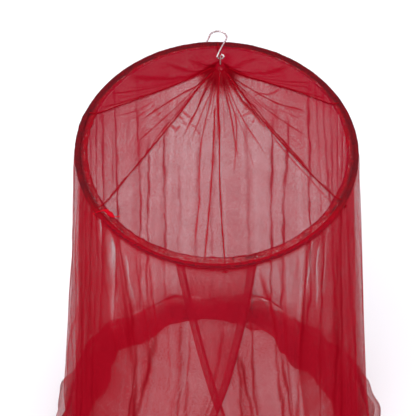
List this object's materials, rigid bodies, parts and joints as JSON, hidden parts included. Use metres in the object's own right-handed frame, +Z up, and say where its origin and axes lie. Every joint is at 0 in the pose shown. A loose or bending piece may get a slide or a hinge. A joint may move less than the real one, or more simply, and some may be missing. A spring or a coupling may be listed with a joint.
{
  "type": "mosquito net canopy with its hoop and ceiling hook",
  "caption": "Sheer net canopy: a gathered crown on a round hoop, hung from a wire hook, with a long curtain lapped at the front and folded on the floor.",
  "frame": {"origin": "hanging point, on the inner face of the hook's crest, straight above the hoop's centre", "axes": "+Z up along the canopy's length; the front, with the lapped free edges, faces -Y; +X to the right seen from the front"},
  "size_m": [0.9729, 0.9263, 1.7554],
  "materials": {
    "net": "sheer fine polyester net, deep red",
    "casing_cloth": "several layers of red net sewn as a sleeve",
    "hoop_tube": "satin",
    "cord": "twisted red cord",
    "steel": "polished nickel"
  },
  "bodies": {
    "root": {"hook": "steel", "apex_ring": "steel", "neck": "net", "hoop": "hoop_tube", "casing": "casing_cloth", "crown_gore_1": "net", "crown_gore_2": "net", "crown_gore_3": "net", "crown_gore_4": "net", "crown_gore_5": "net", "crown_gore_6": "net", "cord_1": "cord", "cord_2": "cord", "cord_3": "cord", "cord_4": "cord", "cord_5": "cord", "cord_6": "cord", "knot_1": "cord", "knot_2": "cord", "knot_3": "cord", "knot_4": "cord", "knot_5": "cord", "knot_6": "cord", "curtain": "net"}
  },
  "joints": []
}
